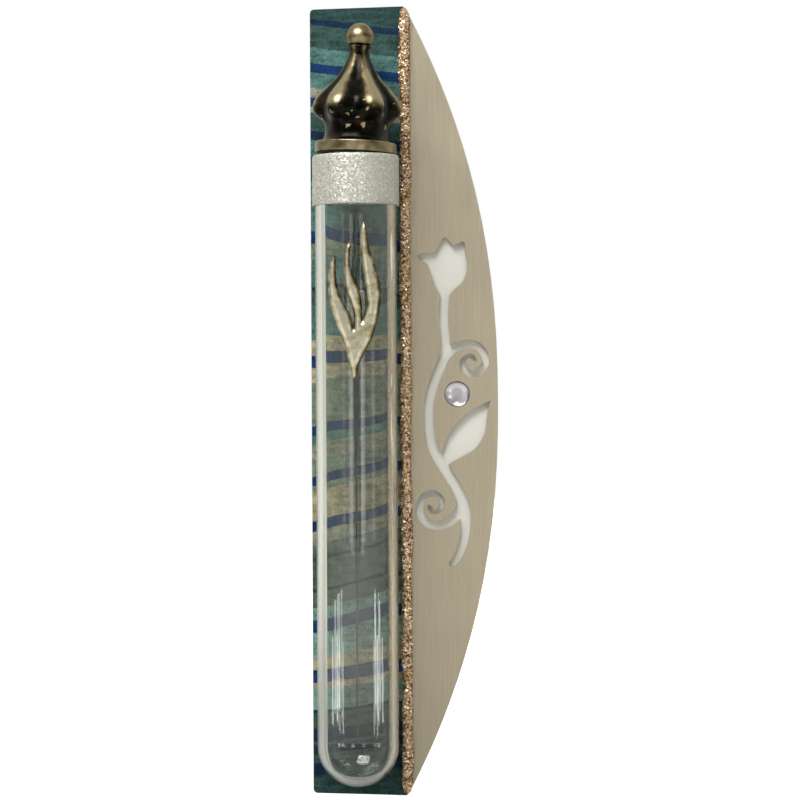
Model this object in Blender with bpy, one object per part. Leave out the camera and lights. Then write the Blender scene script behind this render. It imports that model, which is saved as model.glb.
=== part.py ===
"""Wall-mounted mezuzah case: a glass tube closed by a lobed crown, on a bow-shaped board.

The case stands upright, +Z up, with its front to -Y. The origin is the middle of the foam
tape's back face, the one that meets the wall. Lengths are in metres.

Front faces are built in a plane where the first number runs to the right (+X) and the second
runs up (+Z). Depths are counted from the wall towards the front, so a depth d lies at y = -d.
"""

import math

import bmesh
import bpy

MM = 0.001

# Board outline: a straight left side, and a right side bowed between two peaks.
BOARD_PEAK_HEIGHT = 158.6 * MM  # from the bottom peak to the top peak
PEAK_RISE = 0.7 * MM  # how far a peak stands above the left corner
PANEL_WIDTH = 18.75 * MM  # striped card, left side to seam
FACE_WIDTH = 18.25 * MM  # steel face, seam to the widest point of the bow
BOW_POWER = 2.28  # 2 would be a parabola; more is flatter in the middle
CORNER_RADIUS = 0.8 * MM
PEAK_RADIUS = 0.9 * MM
REVEAL = 0.1 * MM  # board edge left showing round the card and the steel

# Stack of sheets.
TAPE_THICKNESS = 1.0 * MM
TAPE_WIDTH = 19.0 * MM
TAPE_LENGTH = 110.0 * MM
BOARD_THICKNESS = 3.0 * MM
CARD_THICKNESS = 0.8 * MM
STEEL_THICKNESS = 1.0 * MM
SEAT_GAP = 0.3 * MM  # glue line between flat pieces
SLEEVE_GAP = 0.15 * MM  # between round pieces, one inside the other

# Glitter bead over the seam.
BEAD_WIDTH = 2.5 * MM
BEAD_HEIGHT = 1.2 * MM
BEAD_TAPER = 3.0 * MM  # length of each tapered end
BEAD_END_MARGIN = 0.6 * MM

# Glass test tube.
TUBE_RADIUS = 8.0 * MM
TUBE_WALL = 1.2 * MM
TUBE_LENGTH = 124.0 * MM
TUBE_EDGE_MARGIN = 1.27 * MM  # board showing to the left of the tube
TUBE_FOOT_MARGIN = 3.4 * MM  # from the bottom peak up to the tube's foot
TUBE_GLUE_WIDTH = 4.0 * MM
TUBE_GLUE_END_MARGIN = 9.0 * MM

# Glitter band round the tube's mouth.
BAND_HEIGHT = 9.8 * MM
BAND_THICKNESS = 0.4 * MM
BAND_SHOULDER = math.radians(35)

# Ribbed stopper and the stem that the crown is glued on.
STOPPER_CLEARANCE = 0.12 * MM
PLUG_LENGTH = 8.0 * MM
RIB_COUNT = 3
RIB_DEPTH = 0.35 * MM
STEM_RADIUS = 4.4 * MM
STEM_HEIGHT = 4.6 * MM

# Crown casting. Heights are counted from its foot.
CROWN_RADIUS = 8.8 * MM  # to the crest of a lobe
CROWN_LOBES = 6
CROWN_TURN = math.radians(27)  # from the front to the first crest on the right
CROWN_LEAN = math.radians(2.5)  # the casting is glued a little out of plumb
CROWN_CLEARANCE = 0.35 * MM  # to the card when the crown is turned
RING_HEIGHT = 2.2 * MM
RIM_CLEARANCE = 0.2 * MM
SOCKET_CLEARANCE = 0.6 * MM
SOCKET_DEPTH = 5.2 * MM
SOCKET_WALL = 1.2 * MM  # metal left round the socket at the crown's waist
SPIRE_RADIUS = 2.0 * MM  # where the lobes run out under the ball
BALL_RADIUS = 2.78 * MM
BALL_HEIGHT = 23.0 * MM  # centre of the ball
BALL_FLAT = 1.4 * MM  # how far below its centre the ball is cut flat

# Three-tongued ornament on the front of the glass.
ORNAMENT_THICKNESS = 1.3 * MM
ORNAMENT_FOOT = 83.7 * MM  # from the bottom peak up to the ornament's foot
ORNAMENT_GLUE_THICKNESS = 0.4 * MM
ORNAMENT_GLUE_WIDTH = 3.4 * MM
ORNAMENT_GLUE_LENGTH = 12.0 * MM
ORNAMENT_GLUE_RISE = 5.0 * MM  # from the ornament's foot up to the glue

# Cut-out vine and the stone beside it.
VINE_HEIGHT_SCALE = 1.0
VINE_SEAM_MARGIN = 1.6 * MM  # steel left between the seam and the vine
VINE_BOW_MARGIN = 1.7 * MM  # steel left between the vine and the bow
STONE_RADIUS = 2.4 * MM
STONE_CLEARANCE = 0.18 * MM
STONE_HEIGHT = 1.9 * MM
STONE_TABLE_RADIUS = 1.25 * MM
STONE_FACETS = 16
STONE_HOLE_SIDES = 32

# How finely round shapes are divided.
TUBE_SIDES = 40
CROWN_SIDES = 48
BOW_STEPS = 40
CURVE_STEPS = 4

# Worked-out places.
BOARD_WIDTH = PANEL_WIDTH + FACE_WIDTH + 2 * REVEAL + SEAT_GAP
LEFT = -BOARD_WIDTH / 2
RIGHT = BOARD_WIDTH / 2
PEAK_X = LEFT + REVEAL + PANEL_WIDTH + SEAT_GAP / 2
PEAK_Z = BOARD_PEAK_HEIGHT / 2
BOARD_BACK = TAPE_THICKNESS + SEAT_GAP
BOARD_FRONT = BOARD_BACK + BOARD_THICKNESS
SHEET_BACK = BOARD_FRONT + SEAT_GAP
CARD_FRONT = SHEET_BACK + CARD_THICKNESS
STEEL_FRONT = SHEET_BACK + STEEL_THICKNESS
BAND_RADIUS = TUBE_RADIUS + SLEEVE_GAP + BAND_THICKNESS
CROWN_SWING = BALL_HEIGHT * math.sin(CROWN_LEAN) / 2
CROWN_REACH = max(CROWN_RADIUS + CROWN_SWING, BAND_RADIUS, TUBE_RADIUS + CROWN_SWING)
TUBE_X = LEFT + TUBE_EDGE_MARGIN + TUBE_RADIUS
TUBE_DEPTH = CARD_FRONT + CROWN_REACH + CROWN_CLEARANCE
TUBE_FOOT = -PEAK_Z + TUBE_FOOT_MARGIN
TUBE_MOUTH = TUBE_FOOT + TUBE_LENGTH
BORE_RADIUS = TUBE_RADIUS - TUBE_WALL
LIP_RADIUS = TUBE_WALL / 2
ORNAMENT_BACK = TUBE_DEPTH + TUBE_RADIUS + 2 * SLEEVE_GAP + ORNAMENT_GLUE_THICKNESS


def clear_scene():
    for old in list(bpy.data.objects):
        bpy.data.objects.remove(old, do_unlink=True)


def finish(name, colour, roughness, metallic=0.0, alpha=1.0):
    """A material with one Principled shader."""
    made = bpy.data.materials.new(name)
    made.use_nodes = True
    shader = made.node_tree.nodes["Principled BSDF"]
    shader.inputs["Base Color"].default_value = (*colour, 1.0)
    shader.inputs["Roughness"].default_value = roughness
    shader.inputs["Metallic"].default_value = metallic
    shader.inputs["Alpha"].default_value = alpha
    return made


def add_piece(name, shape, made, smooth_below=None):
    """Turns a bmesh into a named object with its material."""
    bmesh.ops.recalc_face_normals(shape, faces=shape.faces)
    mesh = bpy.data.meshes.new(name)
    shape.to_mesh(mesh)
    shape.free()
    if smooth_below is not None:
        mesh.shade_smooth()
        mesh.set_sharp_from_angle(angle=math.radians(smooth_below))
    piece = bpy.data.objects.new(name, mesh)
    if made is not None:
        mesh.materials.append(made)
    bpy.context.scene.collection.objects.link(piece)
    return piece


def facing_front(across, up, depth):
    return (across, -depth, up)


def facing_up(across, depth, height):
    return (across, -depth, height)


def prism(name, outline, low, high, place, made=None):
    """A closed outline carried from low to high. place says which way it faces."""
    shape = bmesh.new()
    floor = [shape.verts.new(place(a, b, low)) for a, b in outline]
    roof = [shape.verts.new(place(a, b, high)) for a, b in outline]
    shape.faces.new(floor)
    shape.faces.new(roof[::-1])
    for i in range(len(outline)):
        j = (i + 1) % len(outline)
        shape.faces.new((floor[i], roof[i], roof[j], floor[j]))
    return add_piece(name, shape, made)


def turned(name, profile, sides, made, radius_at=None, ring_closed=False):
    """A profile of (radius, height) points turned about the vertical axis.

    A radius of 0 closes the shape with a single point. radius_at(radius, height, angle)
    can reshape each ring; angles are counted from the front towards the right.
    """
    shape = bmesh.new()
    rings = []
    for radius, height in profile:
        if radius == 0:
            rings.append([shape.verts.new((0, 0, height))])
            continue
        ring = []
        for i in range(sides):
            angle = 2 * math.pi * i / sides
            reach = radius_at(radius, height, angle) if radius_at else radius
            ring.append(shape.verts.new((reach * math.sin(angle), -reach * math.cos(angle), height)))
        rings.append(ring)
    if ring_closed:
        rings.append(rings[0])
    for lower, upper in zip(rings, rings[1:]):
        for i in range(sides):
            j = (i + 1) % sides
            corners = [lower[i % len(lower)], lower[j % len(lower)]]
            corners += [upper[j % len(upper)], upper[i % len(upper)]]
            shape.faces.new(list(dict.fromkeys(corners)))
    return add_piece(name, shape, made, smooth_below=40)


def between(a, b, c, d, t):
    """A smooth value between b and c, with a before them and d after."""
    square = 2 * a - 5 * b + 4 * c - d
    cube = 3 * b - a - 3 * c + d
    return b + 0.5 * ((c - a) * t + square * t**2 + cube * t**3)


def smooth_line(points, steps=CURVE_STEPS):
    """Points on a smooth curve through the given ones, which may hold a width as well."""
    ends = [points[0]] + list(points) + [points[-1]]
    line = []
    for before, start, end, after in zip(ends, ends[1:], ends[2:], ends[3:]):
        for step in range(steps):
            line.append(tuple(between(*four, step / steps) for four in zip(before, start, end, after)))
    line.append(tuple(points[-1]))
    return line


def smooth_outline(stretches):
    """A closed outline of smooth stretches, each starting at the corner where the last ended."""
    outline = []
    for stretch in stretches:
        outline += smooth_line(stretch)[:-1]
    return outline


def rounded(before, corner, after, radius, steps=4):
    """The arc that replaces a corner of an outline."""
    ways = []
    for other in (before, after):
        length = math.hypot(other[0] - corner[0], other[1] - corner[1])
        ways.append(((other[0] - corner[0]) / length, (other[1] - corner[1]) / length))
    half = math.acos(ways[0][0] * ways[1][0] + ways[0][1] * ways[1][1]) / 2
    bisector = (ways[0][0] + ways[1][0], ways[0][1] + ways[1][1])
    length = math.hypot(*bisector)
    centre = [corner[k] + bisector[k] / length * radius / math.sin(half) for k in (0, 1)]
    cut = radius / math.tan(half)
    start = [corner[k] + ways[0][k] * cut - centre[k] for k in (0, 1)]
    end = [corner[k] + ways[1][k] * cut - centre[k] for k in (0, 1)]
    first = math.atan2(start[1], start[0])
    sweep = (math.atan2(end[1], end[0]) - first + math.pi) % (2 * math.pi) - math.pi
    angles = [first + sweep * step / steps for step in range(steps + 1)]
    return [(centre[0] + radius * math.cos(a), centre[1] + radius * math.sin(a)) for a in angles]


def bow_x(z, inset):
    """The right side of the board at a height, moved in by the inset."""
    return PEAK_X + (RIGHT - PEAK_X) * (1 - abs(z / PEAK_Z) ** BOW_POWER) - inset


def bow_z(x, inset):
    """The height at which the right side of the board passes x."""
    return PEAK_Z * (1 - (x + inset - PEAK_X) / (RIGHT - PEAK_X)) ** (1 / BOW_POWER)


def bow_line(top, inset):
    """Points down the right side, from +top to -top."""
    heights = [top * math.cos(math.pi * step / BOW_STEPS) for step in range(BOW_STEPS + 1)]
    return [(bow_x(z, inset), z) for z in heights]


def top_edge_z(x):
    return PEAK_Z - PEAK_RISE * (PEAK_X - x) / (PEAK_X - LEFT)


def flipped(points):
    """The same points below the middle, in reverse order."""
    return [(x, -z) for x, z in reversed(points)]


def board_outline():
    corner = (LEFT, top_edge_z(LEFT))
    peak = (PEAK_X, PEAK_Z)
    bow = bow_line(PEAK_Z, 0)[2:-2]
    upper = rounded((LEFT, 0), corner, peak, CORNER_RADIUS)
    upper += rounded(corner, peak, bow[0], PEAK_RADIUS)
    return upper + bow + flipped(upper)


def panel_outline():
    left = LEFT + REVEAL
    right = left + PANEL_WIDTH
    corner = (left, top_edge_z(left) - REVEAL)
    upper = rounded((left, 0), corner, (right, top_edge_z(right) - REVEAL), CORNER_RADIUS)
    upper.append((right, top_edge_z(right) - REVEAL - PEAK_RADIUS * 0.12))
    return upper + flipped(upper)


def face_outline():
    seam = PEAK_X + SEAT_GAP / 2
    tip = seam + PEAK_RADIUS / 2
    top = bow_z(tip, REVEAL)
    return [(seam, top)] + bow_line(top, REVEAL) + [(seam, -top)]


def vine_point(right, up):
    """Places a point of the vine drawing, in millimetres right of the seam and above the middle."""
    drawn_left, drawn_right = 2.0, 16.6
    room = FACE_WIDTH - VINE_SEAM_MARGIN - VINE_BOW_MARGIN
    share = (right - drawn_left) / (drawn_right - drawn_left)
    across = PEAK_X + SEAT_GAP / 2 + VINE_SEAM_MARGIN + room * share
    return (across, up * MM * VINE_HEIGHT_SCALE)


def ribbon_outline(centre_line):
    """The outline of a ribbon along (right, up, half width) points, with a round far end."""
    line = smooth_line(centre_line)
    left_side, right_side = [], []
    for i, (x, z, half) in enumerate(line):
        before, after = line[max(i - 1, 0)], line[min(i + 1, len(line) - 1)]
        heading = math.atan2(after[1] - before[1], after[0] - before[0])
        left_side.append((x - half * math.sin(heading), z + half * math.cos(heading)))
        right_side.append((x + half * math.sin(heading), z - half * math.cos(heading)))
    x, z, half = line[-1]
    turns = [heading + math.pi / 2 - math.pi * step / 6 for step in range(1, 6)]
    end = [(x + half * math.cos(turn), z + half * math.sin(turn)) for turn in turns]
    return left_side + end + right_side[::-1]


# The vine, drawn in millimetres right of the seam and above the board's middle.
VINE_STEM = [
    (8.0, 22.2, 0.89),
    (7.67, 16.5, 0.93),
    (8.02, 12.5, 0.89),
    (7.95, 9.3, 0.98),
    (6.88, 6.5, 1.0),
    (5.55, 3.0, 1.0),
    (4.76, -1.0, 0.98),
    (4.93, -7.0, 0.98),
    (6.03, -10.6, 1.02),
    (8.13, -14.2, 1.02),
    (10.18, -17.6, 1.02),
    (11.54, -21.3, 1.11),
    (11.78, -26.0, 0.96),
    (10.8, -30.2, 0.89),
    (9.35, -32.6, 0.85),
]
VINE_UPPER_SCROLL = [
    (7.1, 7.45, 0.9),
    (8.78, 9.75, 0.92),
    (10.78, 11.05, 0.8),
    (12.88, 11.35, 0.76),
    (14.88, 10.45, 0.74),
    (15.98, 8.15, 0.72),
    (15.08, 6.15, 0.7),
    (13.18, 5.25, 0.66),
    (11.58, 6.45, 0.58),
    (11.58, 8.15, 0.5),
    (12.88, 8.95, 0.47),
    (13.68, 8.15, 0.41),
]
VINE_LOWER_SCROLL = [
    (11.35, -20.4, 0.97),
    (10.05, -23.1, 1.02),
    (8.05, -24.6, 0.97),
    (6.05, -25.1, 0.95),
    (3.85, -24.2, 0.87),
    (2.85, -21.7, 0.82),
    (3.75, -19.2, 0.73),
    (5.65, -18.6, 0.63),
    (7.15, -19.9, 0.56),
    (6.75, -21.9, 0.5),
    (5.45, -22.3, 0.45),
    (4.75, -21.3, 0.41),
]
VINE_LEAF = [
    [(7.0, -12.4), (7.45, -9.7), (8.75, -6.6), (11.0, -3.8), (13.7, -1.6), (16.75, 0.0)],
    [(16.75, 0.0), (16.1, -3.4), (15.6, -6.8), (13.8, -9.7), (11.0, -11.4), (9.0, -12.5), (8.0, -13.8)],
    [(8.0, -13.8), (7.0, -12.4)],
]
VINE_TULIP = [
    [(7.4, 20.9), (6.3, 22.5), (5.4, 25), (4.5, 27.4), (3.2, 28.2), (2.75, 28.9), (3.35, 29.5), (6.05, 29.5)],
    [(6.05, 29.5), (7.1, 31.6), (8.05, 32.7), (8.75, 32.1), (9.85, 30.8)],
    [(9.85, 30.8), (10.9, 31.6), (11.9, 31.6), (12.0, 29.7), (12.4, 26.6), (11.5, 23.8), (9.9, 22.4)],
    [(9.9, 22.4), (8.9, 21.1)],
    [(8.9, 21.1), (7.4, 20.9)],
]
VINE_STONE = (10.3, 1.3)


def vine_cutters():
    """Solids to cut from the steel face, each longer than its thickness."""
    outlines = {
        "stem": ribbon_outline(VINE_STEM),
        "upper_scroll": ribbon_outline(VINE_UPPER_SCROLL),
        "lower_scroll": ribbon_outline(VINE_LOWER_SCROLL),
        "leaf": smooth_outline(VINE_LEAF),
        "tulip": smooth_outline(VINE_TULIP),
    }
    outlines = {name: [vine_point(a, b) for a, b in outline] for name, outline in outlines.items()}
    centre = vine_point(*VINE_STONE)
    hole = STONE_RADIUS + STONE_CLEARANCE
    turns = [2 * math.pi * i / STONE_HOLE_SIDES for i in range(STONE_HOLE_SIDES)]
    around = [(math.cos(turn), math.sin(turn)) for turn in turns]
    outlines["stone_hole"] = [(centre[0] + hole * a, centre[1] + hole * b) for a, b in around]
    cutters = []
    for i, (name, outline) in enumerate(outlines.items()):
        over = (2 + 0.1 * i) * MM
        cutter = prism("cutter_" + name, outline, SHEET_BACK - over, STEEL_FRONT + over, facing_front)
        cutter.hide_render = True
        cutter.display_type = "WIRE"
        cutters.append(cutter)
    return cutters


def make_wall_side():
    foam = finish("foam_tape", (0.72, 0.71, 0.68), 0.9)
    half_width, half_length = TAPE_WIDTH / 2, TAPE_LENGTH / 2
    corners = [(-half_width, -half_length), (half_width, -half_length)]
    corners += [(half_width, half_length), (-half_width, half_length)]
    prism("mounting_tape", corners, 0, TAPE_THICKNESS, facing_front, foam)
    white = finish("white_acrylic", (0.83, 0.83, 0.78), 0.3)
    prism("base_board", board_outline(), BOARD_BACK, BOARD_FRONT, facing_front, white)


def make_faces():
    card = finish("striped_card", (0.08, 0.2, 0.21), 0.5)
    prism("striped_panel", panel_outline(), SHEET_BACK, CARD_FRONT, facing_front, card)
    steel = finish("brushed_steel", (0.47, 0.41, 0.32), 0.35, metallic=1.0)
    face = prism("steel_face", face_outline(), SHEET_BACK, STEEL_FRONT, facing_front, steel)
    for cutter in vine_cutters():
        cut = face.modifiers.new(cutter.name, "BOOLEAN")
        cut.operation = "DIFFERENCE"
        cut.solver = "EXACT"
        cut.object = cutter


def make_stone():
    glass = finish("crystal_glass", (0.9, 0.9, 0.94), 0.05)
    girdle = 0.35 * MM
    profile = [(0, 0), (STONE_RADIUS * 0.9, 0), (STONE_RADIUS, girdle)]
    profile += [(STONE_TABLE_RADIUS, STONE_HEIGHT), (0, STONE_HEIGHT)]
    stone = turned("crystal_stone", profile, STONE_FACETS, glass)
    across, up = vine_point(*VINE_STONE)
    stone.location = facing_front(across, up, SHEET_BACK)
    stone.rotation_euler = (math.radians(90), 0, 0)


def make_bead():
    """Half-round bead down the seam, tapered at both ends."""
    glitter = finish("copper_glitter", (0.42, 0.25, 0.13), 0.4, metallic=0.6)
    top = PEAK_Z - BEAD_END_MARGIN
    straight = top - BEAD_TAPER
    half = [math.sin(math.pi / 2 * step / 6) for step in range(7)]
    heights = [straight + BEAD_TAPER * share for share in half]
    heights = [-z for z in reversed(heights)] + [-straight / 3, straight / 3] + heights
    shape = bmesh.new()
    rows = []
    for z in heights:
        past = min(max(abs(z) - straight, 0) / BEAD_TAPER, 0.99)
        share = math.sqrt(1 - past**2)
        row = []
        for i in range(9):
            angle = math.pi * i / 8
            across = PEAK_X - BEAD_WIDTH / 2 * share * math.cos(angle)
            depth = STEEL_FRONT + SEAT_GAP + BEAD_HEIGHT * share * math.sin(angle)
            row.append(shape.verts.new((across, -depth, z)))
        rows.append(row)
    for lower, upper in zip(rows, rows[1:]):
        for i in range(9):
            j = (i + 1) % 9
            shape.faces.new((lower[i], lower[j], upper[j], upper[i]))
    shape.faces.new(rows[0][::-1])
    shape.faces.new(rows[-1])
    add_piece("glitter_bead", shape, glitter, smooth_below=50)


def arc(centre_radius, centre_height, radius, start, end, steps):
    """Profile points on an arc, with its angles counted from outwards towards up."""
    points = []
    for step in range(steps + 1):
        angle = start + (end - start) * step / steps
        points.append((centre_radius + radius * math.cos(angle), centre_height + radius * math.sin(angle)))
    return points


def make_tube():
    """Round-bottomed tube with a rolled lip, its height counted from the mouth."""
    glass = finish("clear_glass", (0.85, 0.9, 0.88), 0.02, alpha=0.35)
    bottom = -TUBE_LENGTH + TUBE_RADIUS
    quarter = math.pi / 2
    outside = arc(0, bottom, TUBE_RADIUS, -quarter, 0, 9)[1:]
    lip = arc(TUBE_RADIUS - LIP_RADIUS, -LIP_RADIUS, LIP_RADIUS, 0, 2 * quarter, 6)
    inside = arc(0, bottom, BORE_RADIUS, 0, -quarter, 8)[:-1]
    profile = [(0, -TUBE_LENGTH)] + outside + lip + inside + [(0, bottom - BORE_RADIUS)]
    tube = turned("glass_tube", profile, TUBE_SIDES, glass)
    tube.location = (TUBE_X, -TUBE_DEPTH, TUBE_MOUTH)

    glitter = finish("silver_glitter", (0.62, 0.61, 0.57), 0.5, metallic=0.4)
    centre = (TUBE_RADIUS - LIP_RADIUS, -LIP_RADIUS)
    inner = arc(*centre, LIP_RADIUS + SLEEVE_GAP, BAND_SHOULDER, 0, 3)
    outer = arc(*centre, LIP_RADIUS + SLEEVE_GAP + BAND_THICKNESS, 0, BAND_SHOULDER, 3)
    foot = -BAND_HEIGHT
    profile = inner + [(inner[-1][0], foot), (outer[0][0], foot)] + outer
    band = turned("mouth_band", profile, TUBE_SIDES, glitter, ring_closed=True)
    band.location = tube.location


def glue_strip(name, half_width, flat_depth, low, high, made, behind):
    """Clear glue between a flat face and the round of the tube, behind or in front of it."""
    side = -1 if behind else 1
    radius = TUBE_RADIUS + SLEEVE_GAP
    outline = [(TUBE_X + half_width, flat_depth), (TUBE_X - half_width, flat_depth)]
    for step in range(9):
        across = -half_width + 2 * half_width * step / 8
        outline.append((TUBE_X + across, TUBE_DEPTH + side * math.sqrt(radius**2 - across**2)))
    prism(name, outline, low, high, facing_up, made)


def make_glue():
    clear = finish("clear_glue", (0.8, 0.82, 0.8), 0.15, alpha=0.5)
    low = TUBE_FOOT + TUBE_GLUE_END_MARGIN
    high = TUBE_MOUTH - BAND_HEIGHT - SLEEVE_GAP * 4
    glue_strip("tube_glue", TUBE_GLUE_WIDTH / 2, CARD_FRONT + SEAT_GAP, low, high, clear, behind=True)
    low = -PEAK_Z + ORNAMENT_FOOT + ORNAMENT_GLUE_RISE
    front = ORNAMENT_BACK - SLEEVE_GAP
    high = low + ORNAMENT_GLUE_LENGTH
    glue_strip("ornament_glue", ORNAMENT_GLUE_WIDTH / 2, front, low, high, clear, behind=False)


# The ornament, drawn in millimetres right of the tube's axis and above its foot.
ORNAMENT = [
    [(-0.45, 0.0), (-1.1, 2.0), (-2.0, 6.0), (-3.4, 9.7), (-4.8, 13.9), (-5.3, 18.0), (-5, 21.5), (-4.2, 23.9)],
    [(-4.2, 23.9), (-3.8, 23.3), (-3.8, 20.6), (-3.4, 17.3), (-2.45, 14.6), (-1.1, 12.2), (-0.4, 9.5)],
    [(-0.4, 9.5), (-0.3, 12.2), (-1.0, 14.9), (-2.1, 18.0), (-2.15, 22.0), (-1.8, 25.2), (-1.2, 26.4)],
    [(-1.2, 26.4), (-0.9, 26.0), (-1.1, 23.0), (-0.8, 20.8), (0.6, 17.6), (1.2, 14.5), (1.2, 10.8)],
    [(1.2, 10.8), (2.1, 13.5), (2.2, 15.2), (1.6, 20.0), (1.1, 24.0), (1.0, 28.0), (1.6, 30.4)],
    [(1.6, 30.4), (2.2, 29.2), (2.5, 26.2), (3.7, 22.0), (4.8, 18.0), (4.7, 13.8), (4.0, 10.4)],
    [(4.0, 10.4), (3.2, 7.7), (1.9, 5.4), (0.6, 2.6), (0.15, 0.5), (-0.45, 0.0)],
]


def make_ornament():
    silver = finish("antique_silver", (0.5, 0.42, 0.28), 0.35, metallic=1.0)
    foot = -PEAK_Z + ORNAMENT_FOOT
    outline = [(TUBE_X + a * MM, foot + b * MM) for a, b in smooth_outline(ORNAMENT)]
    front = ORNAMENT_BACK + ORNAMENT_THICKNESS
    prism("flame_ornament", outline, ORNAMENT_BACK, front, facing_front, silver)


def stopper_profile():
    """The plug with its round ribs, then the stem that stands in the crown."""
    outer = BORE_RADIUS - STOPPER_CLEARANCE
    inner = outer - RIB_DEPTH
    pitch = PLUG_LENGTH / RIB_COUNT
    profile = [(0, -PLUG_LENGTH), (inner * 0.9, -PLUG_LENGTH)]
    for i in range(RIB_COUNT):
        foot = -PLUG_LENGTH + i * pitch
        profile += [(inner, foot + 0.15 * pitch), (outer, foot + 0.4 * pitch)]
        profile += [(outer, foot + 0.7 * pitch), (inner, foot + 0.95 * pitch)]
    top = -RIM_CLEARANCE / 2
    return profile + [(inner, top), (STEM_RADIUS, top), (STEM_RADIUS, STEM_HEIGHT), (0, STEM_HEIGHT)]


# Shape of the crown above its ring: height in millimetres, radius, and how deep the valleys
# between the lobes run, as a share of the radius. The waist's and the spire's radii are in
# millimetres over their own sizes, and the lobes' are shares of the crown's.
CROWN_WAIST = [(2.25, 0.7, 0.0), (2.9, 0.2, 0.01), (4.0, 0.0, 0.02), (5.4, 0.1, 0.03)]
CROWN_LOBE = [
    (6.2, 0.767, 0.06),
    (6.85, 0.858, 0.1),
    (7.55, 0.949, 0.14),
    (8.6, 1.0, 0.17),
    (9.7, 0.989, 0.18),
    (10.6, 0.943, 0.18),
    (11.5, 0.864, 0.18),
    (12.7, 0.739, 0.18),
    (14.3, 0.563, 0.17),
    (16.2, 0.398, 0.13),
    (17.9, 0.295, 0.08),
]
CROWN_SPIRE = [(19.4, 0.05, 0.02), (20.5, 0.0, 0.0), (20.8, 0.25, 0.0), (21.2, 0.25, 0.0), (21.45, 0.0, 0.0)]


def crown_section():
    """Height, crest radius and valley depth up the crown above its ring."""
    waist = STEM_RADIUS + SOCKET_CLEARANCE + SOCKET_WALL
    rows = [(height * MM, waist + over * MM, depth) for height, over, depth in CROWN_WAIST]
    rows += [(height * MM, CROWN_RADIUS * share, depth) for height, share, depth in CROWN_LOBE]
    rows += [(height * MM, SPIRE_RADIUS + over * MM, depth) for height, over, depth in CROWN_SPIRE]
    return rows


def valley_depth(height):
    """How deep the valleys run at a height, read off the section."""
    rows = crown_section()
    for (low, _, below), (high, _, above) in zip(rows, rows[1:]):
        if low <= height <= high:
            return below + (above - below) * (height - low) / (high - low)
    return 0.0


def lobed(radius, height, angle):
    dip = 0.5 - 0.5 * math.cos(CROWN_LOBES * (angle - CROWN_TURN))
    return radius * (1 - valley_depth(height) * dip)


def crown_profile():
    socket = STEM_RADIUS + SOCKET_CLEARANCE
    ring = TUBE_RADIUS
    edge = 0.3 * MM
    profile = [(0, SOCKET_DEPTH), (socket, SOCKET_DEPTH), (socket, 0)]
    profile += [(ring - edge, 0), (ring, edge), (ring, RING_HEIGHT - edge), (ring - edge, RING_HEIGHT)]
    profile += [(radius, height) for height, radius, _ in crown_section()]
    start = -math.asin(BALL_FLAT / BALL_RADIUS)
    ball = arc(0, BALL_HEIGHT, BALL_RADIUS, start, math.pi / 2, 9)[:-1]
    return profile + ball + [(0, BALL_HEIGHT + BALL_RADIUS)]


def make_lid():
    """Stopper and crown, hung on an empty on the tube's axis at its mouth."""
    lid = bpy.data.objects.new("lid_axis", None)
    lid.location = (TUBE_X, -TUBE_DEPTH, TUBE_MOUTH)
    bpy.context.scene.collection.objects.link(lid)

    rubber = finish("clear_silicone", (0.7, 0.7, 0.68), 0.5)
    stopper = turned("stopper", stopper_profile(), TUBE_SIDES, rubber)
    stopper.parent = lid

    pewter = finish("antique_pewter", (0.2, 0.165, 0.11), 0.25, metallic=1.0)
    crown = turned("crown", crown_profile(), CROWN_SIDES, pewter, radius_at=lobed)
    crown.parent = lid
    crown.location = (0, 0, RIM_CLEARANCE + TUBE_RADIUS * math.sin(CROWN_LEAN))
    crown.rotation_euler = (0, CROWN_LEAN, 0)


clear_scene()
make_wall_side()
make_faces()
make_stone()
make_bead()
make_tube()
make_glue()
make_ornament()
make_lid()
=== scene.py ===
import math
import random

import bmesh
import bpy
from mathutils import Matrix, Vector, geometry, noise


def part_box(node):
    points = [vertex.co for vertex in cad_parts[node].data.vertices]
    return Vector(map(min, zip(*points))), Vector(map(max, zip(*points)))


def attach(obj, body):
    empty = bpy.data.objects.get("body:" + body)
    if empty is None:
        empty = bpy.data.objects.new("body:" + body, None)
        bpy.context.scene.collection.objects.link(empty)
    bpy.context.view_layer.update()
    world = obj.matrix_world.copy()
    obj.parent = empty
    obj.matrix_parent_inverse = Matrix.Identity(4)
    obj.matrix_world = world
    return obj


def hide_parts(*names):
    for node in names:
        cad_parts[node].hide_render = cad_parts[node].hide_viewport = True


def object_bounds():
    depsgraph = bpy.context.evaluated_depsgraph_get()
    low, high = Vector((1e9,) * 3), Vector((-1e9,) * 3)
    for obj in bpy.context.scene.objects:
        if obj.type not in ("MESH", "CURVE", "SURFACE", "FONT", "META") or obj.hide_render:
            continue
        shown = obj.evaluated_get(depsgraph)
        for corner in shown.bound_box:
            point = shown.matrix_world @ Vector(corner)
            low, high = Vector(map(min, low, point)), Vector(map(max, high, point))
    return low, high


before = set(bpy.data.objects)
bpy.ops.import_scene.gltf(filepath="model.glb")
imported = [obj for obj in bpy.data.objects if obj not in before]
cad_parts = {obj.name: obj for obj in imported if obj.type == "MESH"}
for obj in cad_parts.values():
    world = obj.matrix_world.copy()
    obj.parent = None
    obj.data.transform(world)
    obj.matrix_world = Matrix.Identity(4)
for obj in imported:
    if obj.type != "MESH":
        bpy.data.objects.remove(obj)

cad_low, cad_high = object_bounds()


# Camera. The case is seen square from the front, from half a metre, and very slightly rolled.
# The distance is counted from the front of the steel.
VIEW_DISTANCE = 0.533
VIEW_LENS = 119.7
VIEW_SIDE = -0.00096
VIEW_RISE = 0.00016
VIEW_ROLL = 0.005
FACE_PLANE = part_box("steel_face")[0].y

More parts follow.
